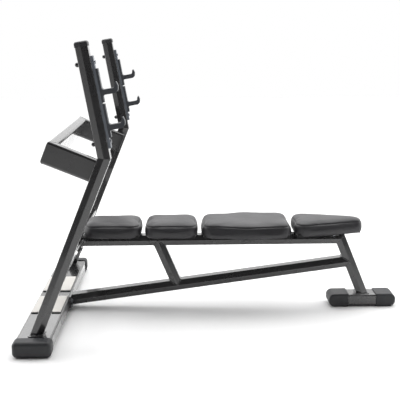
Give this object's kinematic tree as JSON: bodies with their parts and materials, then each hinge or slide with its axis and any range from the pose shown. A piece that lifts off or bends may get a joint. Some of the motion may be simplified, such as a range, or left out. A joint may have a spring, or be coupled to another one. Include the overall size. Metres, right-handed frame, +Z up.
{
  "type": "flat bench press bench",
  "caption": "Flat bench press bench with two leaning uprights, bar hooks at two heights, a segmented pad and a single-beam frame.",
  "frame": {"origin": "on the floor, at the middle of the overall length and width", "axes": "+X from the uprights to the foot end, +Z up, +Y to the left of a person lying face up with the head at the uprights"},
  "size_m": [1.752, 1.24, 1.292],
  "materials": {
    "frame_paint": "gloss",
    "rail_steel": "satin",
    "hook_coating": "satin",
    "zinc_fasteners": "satin",
    "black_fasteners": "gloss",
    "black_rubber": "satin",
    "black_plastic": "satin",
    "cream_rubber": "matte",
    "pad_vinyl": "satin",
    "board_backing": "matte"
  },
  "bodies": {
    "root": {"bar_hook_lower_left": "hook_coating", "bar_hook_lower_right": "hook_coating", "bar_hook_upper_left": "hook_coating", "bar_hook_upper_right": "hook_coating", "base_beam": "frame_paint", "base_cap_left": "black_rubber", "base_cap_right": "black_rubber", "cross_member": "frame_paint", "dome_nuts": "black_fasteners", "flange_bolts": "zinc_fasteners", "foot_beam": "frame_paint", "foot_cap_front": "black_rubber", "foot_cap_rear": "black_rubber", "foot_plate_carrier_left": "black_plastic", "foot_plate_carrier_right": "black_plastic", "foot_plate_tread_left": "cream_rubber", "foot_plate_tread_right": "cream_rubber", "front_post": "frame_paint", "hook_rail_left": "rail_steel", "hook_rail_right": "rail_steel", "hook_screws": "zinc_fasteners", "lower_rail": "frame_paint", "lower_rail_flange": "frame_paint", "mid_strut": "frame_paint", "pad_board_1": "board_backing", "pad_board_2": "board_backing", "pad_board_3": "board_backing", "pad_board_4": "board_backing", "pad_cushion_1": "pad_vinyl", "pad_cushion_2": "pad_vinyl", "pad_cushion_3": "pad_vinyl", "pad_cushion_4": "pad_vinyl", "pad_mount_plates": "frame_paint", "pad_screws": "zinc_fasteners", "post_collar": "frame_paint", "rail_bolts": "zinc_fasteners", "rail_head_flange": "frame_paint", "tie_arm_left": "frame_paint", "tie_arm_right": "frame_paint", "tie_cross_bar": "frame_paint", "tie_plug_left": "black_plastic", "tie_plug_right": "black_plastic", "top_rail": "frame_paint", "upright_cap_left": "black_plastic", "upright_cap_right": "black_plastic", "upright_collar_left": "frame_paint", "upright_collar_right": "frame_paint", "upright_lower_left": "frame_paint", "upright_lower_right": "frame_paint", "upright_upper_left": "frame_paint", "upright_upper_right": "frame_paint", "weld_nuts": "zinc_fasteners"}
  },
  "joints": []
}
